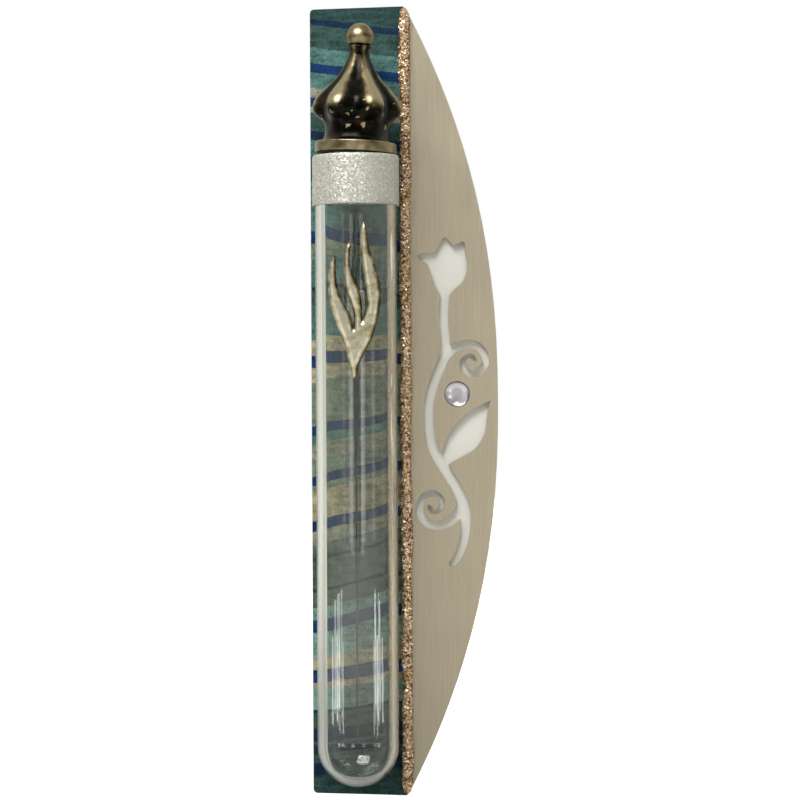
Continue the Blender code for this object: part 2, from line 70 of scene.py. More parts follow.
camera_data = bpy.data.cameras.new("front_camera")
camera_data.lens = VIEW_LENS
camera_data.sensor_width = 36
camera = bpy.data.objects.new("front_camera", camera_data)
camera.location = (VIEW_SIDE, FACE_PLANE - VIEW_DISTANCE, VIEW_RISE)
camera.rotation_euler = (math.pi / 2, VIEW_ROLL, 0)
bpy.context.scene.collection.objects.link(camera)
bpy.context.scene.camera = camera
bpy.context.scene.view_settings.view_transform = "Standard"


# Foam mounting tape. A strip of white closed-cell foam, cut with a knife and stuck down the middle
# of the board's back. Its outer face carries the adhesive that holds the case on the doorpost.
MM = 0.001


def linear(code):
    """An sRGB hex colour as linear RGBA."""
    channels = [int(code[i : i + 2], 16) / 255 for i in (0, 2, 4)]
    return [c / 12.92 if c <= 0.04045 else ((c + 0.055) / 1.055) ** 2.4 for c in channels] + [1.0]


def per_metre(size_mm):
    """How many features of this size in millimetres fit in a metre."""
    return 1000 / size_mm


def add_node(tree, kind, inputs, stops=(), **settings):
    """Adds a node with its settings, fills its inputs with values or links, and its ramp with stops."""
    node = tree.nodes.new(kind)
    for name, value in settings.items():
        setattr(node, name, value)
    for socket, value in inputs.items():
        if isinstance(value, bpy.types.NodeSocket):
            tree.links.new(value, node.inputs[socket])
        else:
            node.inputs[socket].default_value = value
    for i, (place, code) in enumerate(stops):
        stop = node.color_ramp.elements[i] if i < 2 else node.color_ramp.elements.new(place)
        stop.position = place
        stop.color = linear(code)
    return node


def start_material(name, constants):
    """A material with constant gloss, metal and glass values, its tree, and its place in metres."""
    material = bpy.data.materials.new(name)
    material.use_nodes = True
    shader = material.node_tree.nodes["Principled BSDF"]
    for socket, value in constants.items():
        shader.inputs[socket].default_value = value
    place = add_node(material.node_tree, "ShaderNodeTexCoord", {}).outputs["Object"]
    return material, material.node_tree, place


def wired(material, links):
    """A material with its patterns linked to its shader."""
    tree = material.node_tree
    for socket, value in links.items():
        tree.links.new(value, tree.nodes["Principled BSDF"].inputs[socket])
    return material


def add_piece(name, shape, material, body, smooth_below=None):
    """Turns a bmesh into a piece that rides on a body."""
    bmesh.ops.recalc_face_normals(shape, faces=shape.faces)
    mesh = bpy.data.meshes.new(name)
    shape.to_mesh(mesh)
    shape.free()
    if smooth_below is not None:
        mesh.shade_smooth()
        mesh.set_sharp_from_angle(angle=math.radians(smooth_below))
    mesh.materials.append(material)
    piece = bpy.data.objects.new(name, mesh)
    bpy.context.scene.collection.objects.link(piece)
    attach(piece, body)
    return piece


def welded(node):
    """A CAD node's surface, with its corners joined so that its edges can be worked on."""
    shape = bmesh.new()
    shape.from_mesh(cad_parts[node].data)
    bmesh.ops.remove_doubles(shape, verts=shape.verts, dist=1e-6)
    bmesh.ops.dissolve_limit(shape, angle_limit=0.002, verts=shape.verts, edges=shape.edges)
    return shape


def bare_copy(name, node, material, body):
    """A piece with a CAD node's shape, in its place."""
    piece = add_piece(name, welded(node), material, body)
    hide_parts(node)
    return piece


def ease_edges(piece, width_mm):
    """Breaks the sharp edges of a piece."""
    bevel = piece.modifiers.new("eased_edges", "BEVEL")
    bevel.width = width_mm * MM
    bevel.segments = 2
    bevel.limit_method = "ANGLE"
    bevel.angle_limit = math.radians(35)


def foam_tape():
    # Closed-cell polyethylene foam: matt and soft, with cut cells 0.35 mm across.
    material, tree, place = start_material("closed_cell_foam", {"Roughness": 0.85})
    cells = add_node(tree, "ShaderNodeTexVoronoi", {"Vector": place, "Scale": per_metre(0.35)})
    ramp = add_node(
        tree,
        "ShaderNodeValToRGB",
        {"Fac": cells.outputs["Distance"]},
        stops=[(0.0, "BDBBB4"), (0.55, "E4E2DC"), (1.0, "EFEEE9")],
    )
    bump = add_node(tree, "ShaderNodeBump", {"Height": cells.outputs["Distance"], "Distance": 0.05 * MM})
    return wired(material, {"Base Color": ramp.outputs["Color"], "Normal": bump.outputs["Normal"]})


tape = bare_copy("foam_mounting_tape", "mounting_tape", foam_tape(), "case")
ease_edges(tape, 0.12)


# Base board. Three millimetres of white acrylic sheet, laser cut to the bowed outline. Its front
# shows only as a thin light edge and at the bottom of the cut-out vine.
def cast_acrylic():
    # White cast acrylic: glossy and slightly warm, with fine ridges where the laser cut it, and
    # painted shade that darkens it in its corners, by the walls of the cut-outs.
    material, tree, place = start_material(
        "white_cast_acrylic", {"Roughness": 0.25, "IOR": 1.49, "Coat Weight": 0.2, "Coat Roughness": 0.1}
    )
    clouds = add_node(tree, "ShaderNodeTexNoise", {"Vector": place, "Scale": per_metre(14), "Detail": 3.0})
    tone = add_node(
        tree, "ShaderNodeValToRGB", {"Fac": clouds.outputs["Fac"]}, stops=[(0.3, "DDDCD5"), (0.7, "E5E5DF")]
    )
    # Painted shade: occlusion darkens the board's colour near the steel walls of the cut-outs.
    corner = add_node(tree, "ShaderNodeAmbientOcclusion", {"Distance": 1.6 * MM}, samples=8)
    corner_shade = add_node(
        tree,
        "ShaderNodeMapRange",
        {"Value": corner.outputs["AO"], "From Min": 0.2, "From Max": 0.7, "To Min": 0.8},
    )
    shaded_tone = add_node(
        tree, "ShaderNodeHueSaturation", {"Value": corner_shade.outputs[0], "Color": tone.outputs["Color"]}
    )
    ridges = add_node(tree, "ShaderNodeMapping", {"Vector": place})
    ridges.inputs["Scale"].default_value = (per_metre(0.3), per_metre(6), per_metre(0.3))
    lines = add_node(tree, "ShaderNodeTexNoise", {"Vector": ridges.outputs["Vector"], "Scale": 1.0})
    bump = add_node(
        tree, "ShaderNodeBump", {"Height": lines.outputs["Fac"], "Distance": 0.02 * MM, "Strength": 0.5}
    )
    return wired(material, {"Base Color": shaded_tone.outputs["Color"], "Normal": bump.outputs["Normal"]})


board = bare_copy("white_base_board", "base_board", cast_acrylic(), "case")
ease_edges(board, 0.15)


# Glue films. Clear adhesive, 0.3 mm thick, between the tape and the board and between the board
# and its two facings. Only their edges show.
def clear_adhesive():
    # Cured clear adhesive: glossy, faintly yellow, with a few fine bubbles.
    material, tree, place = start_material(
        "clear_adhesive", {"Roughness": 0.12, "IOR": 1.46, "Transmission Weight": 0.85}
    )
    bubbles = add_node(tree, "ShaderNodeTexVoronoi", {"Vector": place, "Scale": per_metre(0.8)})
    tone = add_node(
        tree,
        "ShaderNodeValToRGB",
        {"Fac": bubbles.outputs["Distance"]},
        stops=[(0.05, "C8C5B4"), (0.25, "E9E7DA")],
    )
    bump = add_node(
        tree,
        "ShaderNodeBump",
        {"Height": bubbles.outputs["Distance"], "Distance": 0.05 * MM, "Strength": 0.4},
    )
    return wired(material, {"Base Color": tone.outputs["Color"], "Normal": bump.outputs["Normal"]})


def add_film(name, node, back, front, material):
    """A film with a flat piece's outline, between two depths."""
    shape = welded(node)
    low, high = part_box(node)
    for vert in shape.verts:
        share = (vert.co.y - low.y) / (high.y - low.y)
        vert.co.y = front + (back - front) * share
    film = add_piece(name, shape, material, "case")


glue = clear_adhesive()
FILM_GAP = 0.02 * MM
board_low, board_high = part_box("base_board")
tape_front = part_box("mounting_tape")[0].y
add_film("tape_glue_film", "mounting_tape", tape_front - FILM_GAP, board_high.y + FILM_GAP, glue)
for node in ("striped_panel", "steel_face"):
    sheet_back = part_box(node)[1].y
    add_film(node + "_glue_film", node, board_low.y - FILM_GAP, sheet_back + FILM_GAP, glue)


# Striped card. Heavy watercolour card, painted by hand with a flat brush in bands of teal, blue
# and sand, and left matt. The bands sag to the right at the top and climb to the right lower down.
CARD_LOW, CARD_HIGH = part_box("striped_panel")

# Height of each band's lower edge below the card's top left corner, in millimetres, and its paint.
BANDS = [
    (1.6, "deep"), (2.55, "navy"), (6.95, "slate"), (10.5, "teal"), (12.1, "blue"), (15.4, "teal"),
    (17.2, "stone"), (18.8, "blue"), (20.6, "stone"), (24.0, "slate"), (26.0, "navy"), (29.0, "teal"),
    (34.0, "deep"), (44.0, "teal"), (46.6, "blue"), (50.0, "moss"), (55.2, "teal"), (55.8, "navy"),
    (59.3, "slate"), (65.7, "teal"), (69.0, "sand"), (71.3, "blue"), (74.4, "sand"), (83.5, "moss"),
    (85.1, "blue"), (87.5, "teal"), (90.2, "stone"), (93.3, "moss"), (95.3, "blue"), (96.6, "moss"),
    (102.9, "sand"), (104.9, "blue"), (107.3, "stone"), (109.6, "moor"), (110.6, "ink"), (115.8, "moor"),
    (116.6, "ink"), (119.8, "moor"), (122.5, "aqua"), (125.0, "blue"), (129.8, "aqua"), (132.5, "sand"),
    (134.6, "blue"), (135.9, "sand"), (140.1, "aqua"), (141.0, "navy"), (143.9, "slate"), (146.4, "navy"),
    (147.0, "slate"), (149.1, "navy"), (151.2, "slate"), (153.5, "navy"), (160.0, "deep"),
]
PAINTS = {
    "deep": "2A4442",
    "navy": "142A42",
    "ink": "28383F",
    "slate": "344E49",
    "teal": "4C716D",
    "aqua": "6C9087",
    "blue": "0F355F",
    "moss": "728170",
    "moor": "4C5C50",
    "stone": "868976",
    "sand": "A19A7E",
}
FIRST_RAMP_BANDS = 31  # a ramp holds 32 stops

# The bands' slopes, as rise over run, and the heights that they change between, in metres.
SAG_SLOPE, CLIMB_SLOPE, SETTLE_SLOPE = -0.125, 0.19, -0.08
SAG_HEIGHT, CLIMB_HEIGHT = 0.034, -0.02
SETTLE_TOP, SETTLE_FOOT = -0.043, -0.054
BAND_SWAY = 0.9 * MM
BAND_FRINGE = 0.3 * MM
CORNER_DROP = 0.5 * MM  # how far the bands' top lies under the card's


def painted_card():
    # Gouache on rough card: pigment pools and thins along each stroke, and the brush leaves
    # streaks. Pigment grain is drawn at 0.4 mm, a few times coarser than the real one.
    material, tree, place = start_material(
        "hand_painted_card", {"Roughness": 0.65, "Specular IOR Level": 0.12}
    )
    spot = add_node(tree, "ShaderNodeSeparateXYZ", {"Vector": place})
    across = add_node(tree, "ShaderNodeMath", {0: spot.outputs["X"], 1: CARD_LOW.x}, operation="SUBTRACT")
    slope = add_node(
        tree,
        "ShaderNodeMapRange",
        {
            "Value": spot.outputs["Z"],
            "From Min": SAG_HEIGHT,
            "From Max": CLIMB_HEIGHT,
            "To Min": SAG_SLOPE,
            "To Max": CLIMB_SLOPE,
        },
        interpolation_type="SMOOTHSTEP",
    )
    settle = add_node(
        tree,
        "ShaderNodeMapRange",
        {
            "Value": spot.outputs["Z"],
            "From Min": SETTLE_TOP,
            "From Max": SETTLE_FOOT,
            "To Max": SETTLE_SLOPE,
        },
        interpolation_type="SMOOTHSTEP",
    )
    tilt = add_node(tree, "ShaderNodeMath", {0: slope.outputs[0], 1: settle.outputs[0]}, operation="ADD")
    rise = add_node(tree, "ShaderNodeMath", {0: across.outputs[0], 1: tilt.outputs[0]}, operation="MULTIPLY")
    level = add_node(tree, "ShaderNodeMath", {0: spot.outputs["Z"], 1: rise.outputs[0]}, operation="SUBTRACT")
    sway = add_node(tree, "ShaderNodeTexNoise", {"Vector": place, "Scale": per_metre(11), "Detail": 1.0})
    fringe = add_node(tree, "ShaderNodeTexNoise", {"Vector": place, "Scale": per_metre(0.7), "Detail": 3.0})
    swayed = add_node(
        tree,
        "ShaderNodeMath",
        {0: sway.outputs["Fac"], 1: BAND_SWAY, 2: level.outputs[0]},
        operation="MULTIPLY_ADD",
    )
    fringed = add_node(
        tree,
        "ShaderNodeMath",
        {0: fringe.outputs["Fac"], 1: BAND_FRINGE, 2: swayed.outputs[0]},
        operation="MULTIPLY_ADD",
    )
    # The two noises lift every edge by half of their reach on average.
    top = CARD_HIGH.z - CORNER_DROP + (BAND_SWAY + BAND_FRINGE) / 2
    reach = BANDS[-1][0] * MM
    share = add_node(
        tree, "ShaderNodeMapRange", {"Value": fringed.outputs[0], "From Min": top, "From Max": top - reach}
    )
    edges = [0.0] + [edge / BANDS[-1][0] for edge, _ in BANDS]
    stops = [(edge, PAINTS[paint]) for edge, (_, paint) in zip(edges, BANDS)]
    upper = add_node(tree, "ShaderNodeValToRGB", {"Fac": share.outputs[0]}, stops=stops[:FIRST_RAMP_BANDS])
    lower = add_node(tree, "ShaderNodeValToRGB", {"Fac": share.outputs[0]}, stops=stops[FIRST_RAMP_BANDS:])
    for ramp in (upper, lower):
        ramp.color_ramp.interpolation = "CONSTANT"
    is_lower = add_node(
        tree, "ShaderNodeMath", {0: share.outputs[0], 1: stops[FIRST_RAMP_BANDS][0]}, operation="GREATER_THAN"
    )
    bands = add_node(
        tree,
        "ShaderNodeMix",
        {0: is_lower.outputs[0], 6: upper.outputs["Color"], 7: lower.outputs["Color"]},
        data_type="RGBA",
    )
    strokes_at = add_node(tree, "ShaderNodeMapping", {"Vector": place})
    strokes_at.inputs["Scale"].default_value = (per_metre(6), per_metre(6), per_metre(0.9))
    strokes = add_node(
        tree, "ShaderNodeTexNoise", {"Vector": strokes_at.outputs["Vector"], "Scale": 1.0, "Detail": 4.0}
    )
    pools = add_node(tree, "ShaderNodeTexNoise", {"Vector": place, "Scale": per_metre(2.4), "Detail": 5.0})
    grain = add_node(tree, "ShaderNodeTexNoise", {"Vector": place, "Scale": per_metre(0.4), "Detail": 2.0})
    mottle = add_node(
        tree, "ShaderNodeMath", {0: pools.outputs["Fac"], 1: grain.outputs["Fac"]}, operation="ADD"
    )
    depth = add_node(
        tree, "ShaderNodeMath", {0: mottle.outputs[0], 1: strokes.outputs["Fac"]}, operation="ADD"
    )
    value = add_node(
        tree,
        "ShaderNodeMapRange",
        {"Value": depth.outputs[0], "From Min": 1.15, "From Max": 1.85, "To Min": 0.45, "To Max": 1.5},
    )
    washed = add_node(tree, "ShaderNodeHueSaturation", {"Value": value.outputs[0], "Color": bands.outputs[2]})
    bump = add_node(
        tree, "ShaderNodeBump", {"Height": depth.outputs[0], "Distance": 0.05 * MM, "Strength": 0.5}
    )
    return wired(material, {"Base Color": washed.outputs["Color"], "Normal": bump.outputs["Normal"]})


card = bare_copy("striped_card", "striped_panel", painted_card(), "case")
ease_edges(card, 0.08)


# Steel face. One millimetre of stainless sheet, laser cut to the bow with the vine cut through it,
# and brushed from end to end. It is glued to the board beside the card.
def brushed_stainless():
    # Brushed stainless steel: scratches 0.05 mm wide and centimetres long, drawn at 0.14 mm, which
    # spread its highlights sideways. It is a little warm, and hazed by handling.
    material, tree, place = start_material("brushed_stainless", {"Metallic": 0.85, "Anisotropic": 0.3})
    along = add_node(tree, "ShaderNodeMapping", {"Vector": place})
    along.inputs["Scale"].default_value = (per_metre(0.14), per_metre(1), per_metre(9))
    scratches = add_node(
        tree, "ShaderNodeTexNoise", {"Vector": along.outputs["Vector"], "Scale": 1.0, "Detail": 4.0}
    )
    haze = add_node(tree, "ShaderNodeTexNoise", {"Vector": place, "Scale": per_metre(9), "Detail": 3.0})
    both = add_node(
        tree,
        "ShaderNodeMath",
        {0: haze.outputs["Fac"], 1: 0.35, 2: scratches.outputs["Fac"]},
        operation="MULTIPLY_ADD",
    )
    tone = add_node(
        tree,
        "ShaderNodeValToRGB",
        {"Fac": both.outputs[0]},
        stops=[(0.42, "B5AA94"), (0.68, "BDB29C"), (0.95, "C5BBA6")],
    )
    dull = add_node(
        tree,
        "ShaderNodeMapRange",
        {"Value": both.outputs[0], "From Min": 0.4, "To Min": 0.42, "To Max": 0.52},
    )
    bump = add_node(
        tree, "ShaderNodeBump", {"Height": scratches.outputs["Fac"], "Distance": 0.006 * MM, "Strength": 0.5}
    )
    links = {
        "Base Color": tone.outputs["Color"],
        "Roughness": dull.outputs[0],
        "Normal": bump.outputs["Normal"],
    }
    return wired(material, links)


steel = bare_copy("brushed_steel_face", "steel_face", brushed_stainless(), "case")
ease_edges(steel, 0.07)


# Crystal. A flat-backed stone of lead glass with an octagonal table, pressed and polished, with
# silver foil on its back. It is glued in its round hole in the steel.
STONE_LOW, STONE_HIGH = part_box("crystal_stone")
FOIL_THICKNESS = 0.08 * MM
FOIL_SHARE = 0.96  # of the stone's radius
STONE_SEAT = 0.12 * MM

# The stone's rings of corners: share of its radius, share of its height, count and turn.
STONE_RINGS = [(0.95, 0.0, 16, 0.0), (1.0, 0.3, 16, 0.0), (0.84, 0.68, 8, 0.5), (0.56, 1.0, 8, 0.0)]


def lead_glass():
    # Faceted lead glass: clear, hard-edged and bright, with a faint violet cast from its foil.
    material, tree, place = start_material(
        "faceted_lead_glass", {"Roughness": 0.0, "IOR": 1.56, "Transmission Weight": 1.0}
    )
    film = add_node(tree, "ShaderNodeTexNoise", {"Vector": place, "Scale": per_metre(1.5)})
    tone = add_node(
        tree, "ShaderNodeValToRGB", {"Fac": film.outputs["Fac"]}, stops=[(0.35, "FAF9FD"), (0.65, "FFFFFF")]
    )
    return wired(material, {"Base Color": tone.outputs["Color"]})


def backing_foil():
    # Vacuum-metallised foil behind the stone: bright, faintly violet, and a little mottled.
    material, tree, place = start_material("silver_foil", {"Metallic": 0.8, "Roughness": 0.3})
    cloud = add_node(tree, "ShaderNodeTexNoise", {"Vector": place, "Scale": per_metre(1.1)})
    tone = add_node(
        tree, "ShaderNodeValToRGB", {"Fac": cloud.outputs["Fac"]}, stops=[(0.3, "F0EEF8"), (0.7, "FEFDFF")]
    )
    return wired(material, {"Base Color": tone.outputs["Color"]})


def ring_points(centre, radius, depth, count, turn=0.0):
    """Points on a circle that faces the front."""
    angles = [2 * math.pi * (i + turn) / count for i in range(count)]
    return [(centre.x + radius * math.cos(a), depth, centre.z + radius * math.sin(a)) for a in angles]


def add_hull(name, points, material, body):
    """A faceted piece: the smallest convex shape round the points."""
    shape = bmesh.new()
    for point in points:
        shape.verts.new(point)
    bmesh.ops.convex_hull(shape, input=shape.verts)
    loose = [v for v in shape.verts if not v.link_faces]
    bmesh.ops.delete(shape, geom=loose, context="VERTS")
    bmesh.ops.dissolve_limit(shape, angle_limit=0.02, verts=shape.verts, edges=shape.edges)
    return add_piece(name, shape, material, body)


stone_centre = (STONE_LOW + STONE_HIGH) / 2
stone_radius = (STONE_HIGH.x - STONE_LOW.x) / 2
back, front = STONE_HIGH.y, STONE_LOW.y
foil_points = ring_points(stone_centre, stone_radius * FOIL_SHARE, back, 24)
foil_points += ring_points(stone_centre, stone_radius * FOIL_SHARE, back - FOIL_THICKNESS, 24)
foil = add_hull("stone_foil", foil_points, backing_foil(), "case")
seat = back - STONE_SEAT
stone_points = []
for share, rise, count, turn in STONE_RINGS:
    depth = seat + rise * (front - seat)
    stone_points += ring_points(stone_centre, stone_radius * share, depth, count, turn)
stone = add_hull("faceted_stone", stone_points, lead_glass(), "case")
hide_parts("crystal_stone")


# Glitter bead. Copper glitter in clear glue, run from a nozzle down the seam between the card and
# the steel. It wanders a little, and its flakes lie at every angle.
BEAD_LOW, BEAD_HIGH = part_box("glitter_bead")
BEAD_TAPER = 2.5 * MM
CORE_WIDTH, CORE_HEIGHT = 0.85, 0.82  # shares of the bead's, which leave room for the flakes
CORE_ROWS = 200
CORE_ARC = 10
FLAKE_RADIUS = 0.19 * MM
FLAKE_COUNT = 6500
FLAKE_TILT = 0.32
FLAKE_SEED = 7
FLAKE_LIFT = 0.12  # millimetres
FLAKE_MARGIN = 0.25 * MM  # at the bead's two ends


def copper_glitter():
    # Metallised film flakes: each is a small flat mirror in one of several copper golds.
    material, tree, _ = start_material("copper_glitter_flakes", {"Metallic": 0.6, "Roughness": 0.3})
    tint = add_node(tree, "ShaderNodeAttribute", {}, attribute_name="tint")
    tone = add_node(
        tree,
        "ShaderNodeValToRGB",
        {"Fac": tint.outputs["Fac"]},
        stops=[(0.0, "A47A50"), (0.35, "D2AA7E"), (0.65, "EACDA4"), (0.88, "F3E3CB"), (1.0, "FFFFFF")],
    )
    return wired(material, {"Base Color": tone.outputs["Color"]})


def glitter_binder():
    # The glue that carries the flakes: brown in depth, because the flakes shade it.
    material, tree, place = start_material("glitter_binder", {"Roughness": 0.3, "IOR": 1.46})
    specks = add_node(tree, "ShaderNodeTexVoronoi", {"Vector": place, "Scale": per_metre(0.45)})
    tone = add_node(
        tree,
        "ShaderNodeValToRGB",
        {"Fac": specks.outputs["Distance"]},
        stops=[(0.1, "A8763F"), (0.6, "5A3B1E")],
    )
    bump = add_node(tree, "ShaderNodeBump", {"Height": specks.outputs["Distance"], "Distance": 0.2 * MM})
    return wired(material, {"Base Color": tone.outputs["Color"], "Normal": bump.outputs["Normal"]})


def bead_at(z):
    """The bead's centre, half width and height at a level."""
    middle = (BEAD_LOW.x + BEAD_HIGH.x) / 2
    reach = BEAD_HIGH.z
    wander = 0.07 * MM * math.sin(z / (6.1 * MM)) + 0.04 * MM * math.sin(z / (2.3 * MM) + 1)
    swell = 1 + 0.06 * math.sin(z / (3.7 * MM) + 2) + 0.05 * math.sin(z / (1.7 * MM))
    past = max(abs(z) - (reach - BEAD_TAPER), 0) / BEAD_TAPER
    taper = math.sqrt(max(1 - past**2, 0.04))
    half = (BEAD_HIGH.x - BEAD_LOW.x) / 2 * CORE_WIDTH
    return middle + wander, half * swell * taper, (BEAD_HIGH.y - BEAD_LOW.y) * CORE_HEIGHT * taper


def bead_spot(z, angle):
    """A point on the bead's surface and the way it faces. The angle runs over it from left to right."""
    middle, half, height = bead_at(z)
    spot = Vector((middle - half * math.cos(angle), BEAD_HIGH.y - height * math.sin(angle), z))
    facing = Vector((-math.cos(angle) / half, -math.sin(angle) / height, 0)).normalized()
    return spot, facing


def skin_rows(shape, rows):
    """Joins rows of as many corners each into a closed bar."""
    count = len(rows[0])
    for lower, upper in zip(rows, rows[1:]):
        for j in range(count):
            k = (j + 1) % count
            shape.faces.new((lower[j], lower[k], upper[k], upper[j]))
    shape.faces.new(rows[0])
    shape.faces.new(rows[-1])


def add_bead_core():
    shape = bmesh.new()
    rows = []
    for i in range(CORE_ROWS + 1):
        z = BEAD_LOW.z + (BEAD_HIGH.z - BEAD_LOW.z) * i / CORE_ROWS
        angles = [math.pi * j / CORE_ARC for j in range(CORE_ARC + 1)]
        rows.append([shape.verts.new(bead_spot(z, angle)[0]) for angle in angles])
    skin_rows(shape, rows)
    return add_piece("glitter_bead_core", shape, glitter_binder(), "case", smooth_below=60)


def add_flakes(name, spot_of, material, body):
    """Small hexagonal flakes lying on a surface, each tilted its own way and with its own tint."""
    pick = random.Random(FLAKE_SEED)
    points, faces, tints = [], [], []
    for _ in range(FLAKE_COUNT):
        spot, facing = spot_of(pick)
        lean = Vector([pick.gauss(0, FLAKE_TILT) for _ in range(3)])
        facing = (facing + lean).normalized()
        side = facing.orthogonal().normalized()
        up = facing.cross(side)
        turn = pick.uniform(0, math.pi)
        size = FLAKE_RADIUS * pick.uniform(0.65, 1.2)
        corners = [turn + math.pi * k / 3 for k in range(6)]
        faces.append(range(len(points), len(points) + 6))
        points += [spot + (side * math.cos(a) + up * math.sin(a)) * size for a in corners]
        tints.append(pick.random())
    mesh = bpy.data.meshes.new(name)
    mesh.from_pydata(points, [], faces)
    layer = mesh.attributes.new("tint", "FLOAT", "FACE")
    layer.data.foreach_set("value", tints)
    mesh.materials.append(material)
    flakes = bpy.data.objects.new(name, mesh)
    bpy.context.scene.collection.objects.link(flakes)
    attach(flakes, body)
    return flakes


def on_bead(pick):
    """A flake's place, on the core or a little above it, and the way that the core faces there."""
    z = pick.uniform(BEAD_LOW.z + FLAKE_MARGIN, BEAD_HIGH.z - FLAKE_MARGIN)
    spot, facing = bead_spot(z, math.acos(pick.uniform(-1, 1)))
    return spot + facing * pick.uniform(0.0, FLAKE_LIFT) * MM, facing


core = add_bead_core()
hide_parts("glitter_bead")
flakes = add_flakes("copper_flakes", on_bead, copper_glitter(), "case")


# Glass tube. A thick-walled test tube with a round bottom and a fire-polished lip, glued by its
# back to the card. It is empty.
TUBE_LOW, TUBE_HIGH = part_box("glass_tube")
TUBE_RADIUS = (TUBE_HIGH.x - TUBE_LOW.x) / 2
TUBE_AXIS = (TUBE_LOW + TUBE_HIGH) / 2
TUBE_WALL = 1.2 * MM
TUBE_SIDES = 128


def turned(name, profile, sides, material, body, radius_at=None, ring_closed=False, marks=None):
    """Turns a profile of (radius, height) points about the vertical through the piece's origin.

    A radius of 0 closes it with one point. radius_at(radius, height, angle) can reshape a ring,
    with angles from the front towards the right. marks(radius, height, angle) gives each point a
    number from 0 to 1 that the finish reads as how worn it is, with painted shade and painted
    glints mixed in on the crown.
    """
    shape = bmesh.new()
    wear_and_painted_light = shape.verts.layers.float.new("wear_and_painted_light")
    rings = []
    for radius, height in profile:
        ring = []
        for i in range(sides if radius else 1):
            angle = 2 * math.pi * i / sides
            reach = radius_at(radius, height, angle) if radius_at else radius
            vert = shape.verts.new((reach * math.sin(angle), -reach * math.cos(angle), height))
            vert[wear_and_painted_light] = marks(radius, height, angle) if marks else 0.0
            ring.append(vert)
        rings.append(ring)
    if ring_closed:
        rings.append(rings[0])
    for lower, upper in zip(rings, rings[1:]):
        for i in range(sides):
            j = (i + 1) % sides
            corners = [lower[i % len(lower)], lower[j % len(lower)]]
            corners += [upper[j % len(upper)], upper[i % len(upper)]]
            shape.faces.new(list(dict.fromkeys(corners)))
    return add_piece(name, shape, material, body, smooth_below=45)


def arc(centre_radius, centre_height, radius, start, end, steps):
    """Profile points on an arc, with its angles in degrees counted from outwards towards up."""
    points = []
    for step in range(steps + 1):
        angle = math.radians(start + (end - start) * step / steps)
        points.append((centre_radius + radius * math.cos(angle), centre_height + radius * math.sin(angle)))
    return points


def put(piece, location, lean=0.0):
    """Moves a piece to its place, with a lean to the right in radians."""
    piece.location = location
    piece.rotation_euler = (0, lean, 0)


def borosilicate():
    # Borosilicate glass tubing: colourless, drawn, so its surface carries faint lengthwise waves.
    material, tree, place = start_material(
        "borosilicate_glass", {"Roughness": 0.0, "IOR": 1.474, "Transmission Weight": 1.0}
    )
    drawn = add_node(tree, "ShaderNodeMapping", {"Vector": place})
    drawn.inputs["Scale"].default_value = (per_metre(2.2), per_metre(2.2), per_metre(60))
    waves = add_node(
        tree, "ShaderNodeTexNoise", {"Vector": drawn.outputs["Vector"], "Scale": 1.0, "Detail": 1.0}
    )
    tone = add_node(
        tree, "ShaderNodeValToRGB", {"Fac": waves.outputs["Fac"]}, stops=[(0.3, "F6F8F4"), (0.7, "FCFDFA")]
    )
    bump = add_node(
        tree, "ShaderNodeBump", {"Height": waves.outputs["Fac"], "Distance": 0.03 * MM, "Strength": 0.35}
    )
    return wired(material, {"Base Color": tone.outputs["Color"], "Normal": bump.outputs["Normal"]})


bore = TUBE_RADIUS - TUBE_WALL
lip = TUBE_WALL / 2
depth = TUBE_HIGH.z - TUBE_LOW.z
bottom = TUBE_RADIUS - depth
tube_profile = [(0, -depth)] + arc(0, bottom, TUBE_RADIUS, -90, 0, 24)[1:]
tube_profile += arc(TUBE_RADIUS - lip, -lip, lip, 0, 180, 14)
tube_profile += arc(0, bottom, bore, 0, -90, 20)[:-1] + [(0, bottom - bore)]
mouth = (TUBE_AXIS.x, TUBE_AXIS.y, TUBE_HIGH.z)
tube = turned("glass_test_tube", tube_profile, TUBE_SIDES, borosilicate(), "case")
put(tube, mouth)
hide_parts("glass_tube")


# Tube glue. A line of clear adhesive, squeezed from a nozzle between the back of the tube and the
# card. It holds the tube, and it has run together behind the tube's middle.
GLUE_LOW, GLUE_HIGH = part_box("tube_glue")
GLUE_ROWS = 90
GLUE_GAP = 0.1 * MM
GLUE_THIN = 0.16 * MM
GLUE_POOL = 0.42 * MM
POOL_FOOT, POOL_TOP = -17 * MM, 10 * MM
POOL_FOOT_RUN, POOL_TOP_RUN = 15 * MM, 4 * MM  # how far its width takes to grow and to shrink


def painted_shade_adhesive():
    # Clear adhesive, drawn opaque and dark teal: its darkness is painted shade, a dark line down behind the
    # tube.
    material, tree, place = start_material(
        "painted_shade_adhesive", {"Roughness": 0.6, "Specular IOR Level": 0.15}
    )
    flow = add_node(tree, "ShaderNodeTexNoise", {"Vector": place, "Scale": per_metre(3)})
    tone = add_node(
        tree, "ShaderNodeValToRGB", {"Fac": flow.outputs["Fac"]}, stops=[(0.35, "1B302F"), (0.65, "2F4744")]
    )
    bump = add_node(tree, "ShaderNodeBump", {"Height": flow.outputs["Fac"], "Distance": 0.1 * MM})
    return wired(material, {"Base Color": tone.outputs["Color"], "Normal": bump.outputs["Normal"]})


def glue_half_width(z):
    """Half the line's width: thin at the top, pooled behind the middle of the tube, thin below."""
    grown = min(max((z - POOL_FOOT) / POOL_FOOT_RUN, 0), 1)
    left = min(max((POOL_TOP - z) / POOL_TOP_RUN, 0), 1)
    return GLUE_THIN + GLUE_POOL * grown * left


